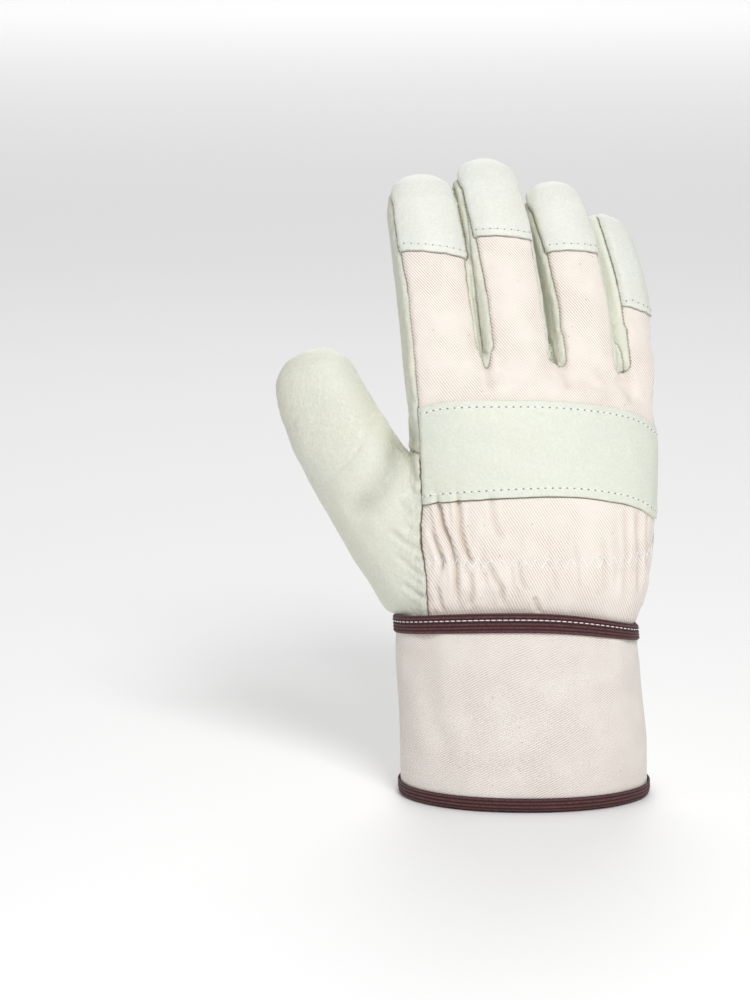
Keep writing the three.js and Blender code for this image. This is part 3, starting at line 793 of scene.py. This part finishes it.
def leather_material(name, base, wrinkle):
    """Grain leather: wrinkle is how strongly its fine worn folds show."""
    paint = Paint(name)
    pebbles = paint.add("ShaderNodeTexVoronoi", {"Vector": paint.spot, "Scale": 1050}, feature="SMOOTH_F1")
    grain = paint.noise(700, 4, 0.65)
    slant = {"Vector": paint.spot, "Rotation": (0, radians(-38), 0), "Scale": (520, 420, 130)}
    lines = paint.noise(1, 3, 0.6, paint.add("ShaderNodeMapping", slant).outputs[0])
    ridge = paint.maths("ABSOLUTE", paint.maths("SUBTRACT", lines, 0.5))
    folds = paint.between(paint.layer("worn"), 1.0, paint.span(ridge, 0.0, 0.09))
    fine = paint.between(0.5, pebbles.outputs["Distance"], grain)
    folded = paint.bump(folds, wrinkle, 0.0003)
    warmer = (base[0] * 1.03, base[1], base[2] * 0.96)
    tone = paint.colour(paint.span(paint.noise(24, 4, 0.6), 0.35, 0.65), base, warmer)
    # Painted shade: slightly darker along the fine folds.
    crease_shade = paint.span(folds, 0, 1, 0.95, 1.0)
    pores = paint.span(fine, 0.2, 0.65, 0.93, 1.03)
    # Painted shade: darker in the folds' valleys.
    creases = paint.span(paint.layer("hollow_shade"), 0, 1, 1.0, 0.80)
    for shade in (crease_shade, pores, creases):
        tone = paint.colour(1.0, tone, shade, "MULTIPLY")
    # The seams' dark lines: partly the raw edge's own colour, partly painted shade.
    return paint.finish({
        "Base Color": paint.colour(seam_line(paint), tone, (0.20, 0.18, 0.11)),
        "Normal": paint.bump(fine, 0.75, 0.00025, folded),
        "Roughness": paint.span(grain, 0, 1, 0.42, 0.62),
        "Specular IOR Level": 0.4,
    })


leather = leather_material("grain leather", (0.75, 0.77, 0.675), 0.6)
# The size of each panel as cut, in metres, with its area.
leather_cuts = {
    "palm_leather": ((0.145, 0.120), 0.0107),
    "thumb_leather": ((0.100, 0.155), 0.0117),
    "index_front": ((0.056, 0.125), 0.0060),
    "middle_front": ((0.054, 0.110), 0.0048),
    "ring_front": ((0.058, 0.105), 0.0052),
    "little_front": ((0.045, 0.085), 0.0029),
}
leather_pieces = {}
for name, (flat, area) in leather_cuts.items():
    part = cut_out(name)
    leather_pieces[name] = finish_piece(part, name + "_skin", [leather], leather_wall, [name])

# Fingertip caps
# A leather cap over the back of each fingertip, sewn into the finger's seam round its tip and laid over the
# drill at its hem, where one row of stitches holds it.
cap_lift = 0.75
cap_row_inside = 3.0
cap_leather = leather_material("cap leather", (0.775, 0.80, 0.75), 0.2)
cap_threads = bmesh.new()
for name in cap_names:
    part = cut_out(name)
    side_tree = seam_trees["side"]
    rim = [vert for vert in part.verts if vert.is_boundary]
    hem = [vert for vert in rim if side_tree.find(vert.co)[2] > 2.0 * mm]
    hem_tree = KDTree(len(hem))
    for i, vert in enumerate(hem):
        hem_tree.insert(vert.co, i)
    hem_tree.balance()
    part.normal_update()
    for vert in part.verts:
        vert.co += vert.normal * cap_lift * mm * step(side_tree.find(vert.co)[2] / mm, 0.4, 3)
    part.normal_update()
    value = {vert: hem_tree.find(vert.co)[2] - cap_row_inside * mm for vert in part.verts}
    rows = sorted(traced(part.faces, value), key=len)
    add_stitches(cap_threads, rows[-1:], 3.0, 1.7, 0.5, 0.75)
    made = finish_piece(part, name + "_skin", [cap_leather], leather_wall, [name])
finish_piece(cap_threads, "cap_stitches", [thread_pale, hole_shade])

# Knuckle strap
# A leather strap laid over the drill across the knuckles, its ends caught in the side seams, with a row of
# stitches along each raw edge.
part = cut_out("back_drill")
for _ in range(6):
    bmesh.ops.smooth_vert(part, verts=[vert for vert in part.verts if not vert.is_boundary], factor=0.5,
                          use_axis_x=True, use_axis_y=True, use_axis_z=True)
part.normal_update()
for vert in part.verts:
    side = seam_trees["side"].find(vert.co)[2] / mm
    ripple = 0.22 * noise.noise(vert.co / (7 * mm)) + 0.09 * noise.noise(vert.co / (2.2 * mm))
    vert.co += vert.normal * (0.35 + (0.75 + ripple) * step(side, 0, 3)) * mm


def inside_strap(vert):
    """How far inside the strap's nearer edge a point lies."""
    x, _, z = vert.co / mm
    return min(strap_height(x, strap_top) - z, z - strap_height(x, strap_bottom)) * mm


value = {vert: inside_strap(vert) or 1e-9 for vert in part.verts}
_, outside_strap, _ = cut_along(part, list(part.faces), value)
bmesh.ops.delete(part, geom=outside_strap, context="FACES")
part.normal_update()
rows = []
for column, inside in ((strap_top, 2.6), (strap_bottom, -3.2)):
    value = {vert: vert.co.z - (strap_height(vert.co.x / mm, column) - inside) * mm for vert in part.verts}
    rows += [line for line in traced(part.faces, value) if len(line) > 20]
strap_threads = bmesh.new()
add_stitches(strap_threads, rows, 3.0, 2.0, 0.7, 0.9)
strap_leather = leather_material("strap leather", (0.75, 0.79, 0.705), 0.35)
strap = finish_piece(
    part, "knuckle_strap_leather", [strap_leather], leather_wall, ["knuckle_strap"]
)
finish_piece(strap_threads, "strap_stitches", [thread_white, hole_shade])

# Cuff
# A wide stiff cuff of two plies of the same drill, its ribs finer and greyer. It widens towards its hem and
# is a flattened ring.
cuff_round = 270
cuff_height = 75
cuff_foot = 1.6
cuff_wall_height = 74.6
rib_angle = radians(30)
# Each row: z, its centre's x and y, lean in degrees, half width and half depth, squareness, how far its edge
# dips at both sides and how much further on the little finger's side, in mm.
cuff_rows = [
    (0, 0.8, 0.0, 0, 51.0, 36.6, 2.1, 0, 0),
    (24, 0.3, 0.2, 1, 51.0, 34.8, 2.1, 0.5, 0.4),
    (50, -1.4, 0.8, 3, 50.0, 32.0, 2.15, 1.5, 1.4),
    (76.3, -3.1, 1.8, 5, 49.4, 29.2, 2.2, 3.4, 3.7),
]


def cuff_point(turn, z, out, along=0):
    """A point of the cuff's wall: the turn round it from the little finger's side over the back, its height,
    and how far it is out from the wall's face and along the wall, in mm."""
    i = min(max([k for k in range(3) if cuff_rows[k][0] <= z] or [0]), 2)
    low, high = cuff_rows[i], cuff_rows[i + 1]
    share = (z - low[0]) / (high[0] - low[0])
    _, x, y, lean, wide, deep, square, dip, sag = [a + share * (b - a) for a, b in zip(low, high)]
    c, s = cos(turn), sin(turn)
    across = (wide + out) * (abs(c) ** (2 / square)) * (1 if c > 0 else -1)
    back = (deep + out) * (abs(s) ** (2 / square)) * (1 if s > 0 else -1)
    along -= dip * c * c + sag * max(0, c) ** 2
    tilt = radians(lean)
    upright = along * cos(tilt) + back * sin(tilt)
    return Vector((x + across, y - back * cos(tilt) + along * sin(tilt), z + upright)) * mm


def bent_sheet(columns, rows, place):
    """A grid laid to a shape: place gives the point for a share along each way. Touching edges are joined,
    and the map called flat keeps both shares."""
    made = bmesh.new()
    bmesh.ops.create_grid(made, x_segments=columns, y_segments=rows, size=1)
    flat_map = made.loops.layers.uv.new("flat")
    for face in made.faces:
        for loop in face.loops:
            loop[flat_map].uv = ((loop.vert.co.x + 1) / 2, (loop.vert.co.y + 1) / 2)
    for vert in made.verts:
        vert.co = place((vert.co.x + 1) / 2, (vert.co.y + 1) / 2)
    bmesh.ops.remove_doubles(made, verts=made.verts, dist=0.001 * mm)
    bmesh.ops.recalc_face_normals(made, faces=made.faces)
    return made


def waviness(turn, z):
    """How far the cuff's wall waves in and out, in mm."""
    return 0.45 * noise.noise(Vector((3 * cos(turn), 3 * sin(turn), z / 22)))


def cuff_weave(paint):
    """Ribs drawn on the cuff as it lies flat, rising towards the little finger's side on the back."""
    across = (sin(rib_angle) * cuff_round * mm, cos(rib_angle) * cuff_height * mm, 0)
    slope = paint.add("ShaderNodeVectorMath", {0: paint.flat_map(), 1: across}, operation="DOT_PRODUCT")
    return slope.outputs["Value"]


# The dents of the cuff's back, given like the hand's folds.
cuff_dents = [
    ([(-40.5, 76), (-41.0, 62), (-40.5, 46), (-38.0, 33), (-31.0, 24), (-20.0, 19)], 0.9, 4.2),
    ([(-46.5, 60), (-47.5, 40), (-46.5, 22)], 0.5, 3.0),
    ([(-14.0, 14), (-4.0, 18), (6.0, 17)], 0.5, 4.0),
    ([(44.0, 70), (46.5, 50), (47.0, 30)], 0.5, 3.5),
]


def cuff_wall(u, v):
    """A point of the cuff's wall, with its waves and dents."""
    turn = -pi / 2 + 2 * pi * u
    z = cuff_foot + v * cuff_wall_height
    out = waviness(turn, z)
    if sin(turn) > 0:
        x = cuff_point(turn, z, 0).x / mm
        for points, depth, width in cuff_dents:
            gap, share = line_distance(x, z, points)
            out += depth * step(1 - share, 0, 0.45) * (0.5 * bell(gap - 2 * width, width) - bell(gap, width))
    return cuff_point(turn, z, out)


part = bent_sheet(200, 70, cuff_wall)
cuff_drill = drill_material("cuff drill", (0.85, 0.80, 0.745), (0.58, 0.50, 0.44), 0.85, cuff_weave)
cuff = finish_piece(part, "cuff_cloth", [cuff_drill], 2.0, ["cuff_drill"])

# Bindings
# Dark red-brown ribbed braid folded over the cuff's hem and over its upper edge, sewn through with white
# thread. It ends at each side of the patch.
ridge_pitch = 1.4
braid_fold = 4
hem_height = 4.2
seam_height = 6.3
patch_turns = (radians(-10), radians(276))


def braid_material(name, height):
    """Ridges run along the braid: their crests are painted light and the grooves between them painted dark,
    as light and shade on the ridges. Height is how far over the cuff each half reaches.
    """
    paint = Paint(name)
    yarn = paint.noise(1500, 2)
    across = paint.add("ShaderNodeSeparateXYZ", {"Vector": paint.flat_map()}).outputs["Y"]
    turns = paint.maths("MULTIPLY", across, pi * (height * 2 + braid_fold) / ridge_pitch)
    ridge = paint.maths("ABSOLUTE", paint.maths("SINE", turns))
    # Painted light and shade: bright on each ridge's crest, dark between ridges, broken up by the yarn.
    tone = paint.maths("MULTIPLY", paint.span(ridge, 0.3, 1.0), paint.span(yarn, 0.35, 0.65, 0.35, 1.0))
    return paint.finish({
        "Base Color": paint.colour(tone, (0.024, 0.007, 0.008), (0.165, 0.052, 0.055)),
        "Normal": paint.bump(yarn, 0.8, 0.0003),
        "Roughness": 0.85,
        "Sheen Weight": 0.1,
    })


def fold_over(v, height, edge_z, out_way):
    """Where a share of the braid's width lies: its height, how far out and how far past the cuff's edge."""
    run = v * (height * 2 + braid_fold)
    proud = 0.75 + 0.5 * abs(sin(pi * run / ridge_pitch)) ** 0.8
    if run < height:
        return edge_z - out_way * (height - run), proud, 0
    if run > height + braid_fold:
        return edge_z - out_way * (run - height - braid_fold), -2.0 - proud, 0
    share = (run - height) / braid_fold
    return edge_z, (proud + 1) * cos(pi * share) - 1, out_way * (0.2 + proud) * sin(pi * share)


def braid_place(height, edge_z, out_way, turn_from, turn_to):
    """The function that lays a braid over an edge of the cuff, between two turns round it."""
    def place(u, v):
        turn = turn_from + u * (turn_to - turn_from)
        z, out, past = fold_over(v, height, edge_z, out_way)
        return cuff_point(turn, z, out + 0.5 * waviness(turn, z), past)
    return place


part = bent_sheet(220, 56, braid_place(hem_height, 1.5, -1, -pi / 2, 3 * pi / 2))
braid = braid_material("hem braid", hem_height)
hem_braid = finish_piece(part, "hem_braid", [braid], 0.5, ["hem_binding"])
part = bent_sheet(220, 64, braid_place(seam_height, 76.4, 1, *patch_turns))
braid = braid_material("cuff braid", seam_height)
seam_braid = finish_piece(part, "cuff_seam_braid", [braid], 0.5, ["cuff_seam_binding"])


def round_cuff(z, out, turns, count=400):
    """A line round the cuff, for a row of stitches."""
    line = []
    for i in range(count + 1):
        turn = turns[0] + i / count * (turns[1] - turns[0])
        spot = cuff_point(turn, z, out)
        up = (cuff_point(turn, z, out + 1) - spot).normalized()
        line.append((spot, up))
    return line


threads = bmesh.new()
add_stitches(threads, [round_cuff(75.2, 1.3, patch_turns)], 2.4, 2.5, 0.45)
add_stitches(threads, [round_cuff(69.0, 0.1, patch_turns)], 2.6, 1.5, 0.35)
finish_piece(threads, "binding_stitches", [thread_white])

# Leather patch
# A leather patch over the pulse: it runs from the palm down over the cuff on the little finger's side, with
# rounded lower corners and rows of stitches.
patch_x = (3.5, 45.5)
patch_z = (41, 85)
patch_corner = 7
patch_lift = 1.6
patch_stitches = (3.0, 2.0, 0.55, 0.7)
under_patch = bmesh.new()
for made in [leather_pieces["palm_leather"], cuff]:
    under_patch.from_mesh(made.data)
under_tree = BVHTree.FromBMesh(under_patch)
under_patch.free()


def patch_place(u, v):
    """A point of the patch on the palm or cuff, or at the side where it reaches past both."""
    x = (patch_x[0] + u * (patch_x[1] - patch_x[0])) * mm
    z = (patch_z[0] + v * (patch_z[1] - patch_z[0])) * mm
    spot, direction, _, _ = under_tree.ray_cast(Vector((x, 0.2, z)), Vector((0, -1, 0)))
    if spot is None or spot.y < 0:
        spot = Vector((x, 0.005, z))
        direction = Vector((1, 0, 0))
    return spot + direction * patch_lift * mm


part = bent_sheet(56, 60, patch_place)
for _ in range(12):
    bmesh.ops.smooth_vert(part, verts=part.verts, factor=0.5, use_axis_y=True)
part.normal_update()


def inside_patch(vert):
    """How far inside the patch's nearest edge a point lies, in mm."""
    x, _, z = vert.co / mm
    dx = max(patch_x[0] + patch_corner - x, x - patch_x[1] + patch_corner, 0)
    dz = max(patch_z[0] + patch_corner - z, 0)
    corner = patch_corner - sqrt(dx * dx + dz * dz)
    return min(x - patch_x[0], patch_x[1] - x, z - patch_z[0], corner)


value = {vert: inside_patch(vert) + 0.05 for vert in part.verts}
_, outside_patch, _ = cut_along(part, list(part.faces), value)
bmesh.ops.delete(part, geom=outside_patch, context="FACES")
if sum(face.normal.y for face in part.faces) < 0:
    bmesh.ops.reverse_faces(part, faces=part.faces)
part.normal_update()
threads = bmesh.new()
row_values = [{vert: inside_patch(vert) - 3.2 for vert in part.verts}]
for height in (66, 73):
    row_values.append({vert: vert.co.z / mm - height for vert in part.verts})
for value in row_values:
    rows = [line for line in traced(part.faces, value) if len(line) > 20]
    add_stitches(threads, rows, *patch_stitches)
patch = finish_piece(part, "pulse_patch_leather", [strap_leather], leather_wall, ["pulse_patch"])
finish_piece(threads, "patch_stitches", [thread_white, hole_shade])
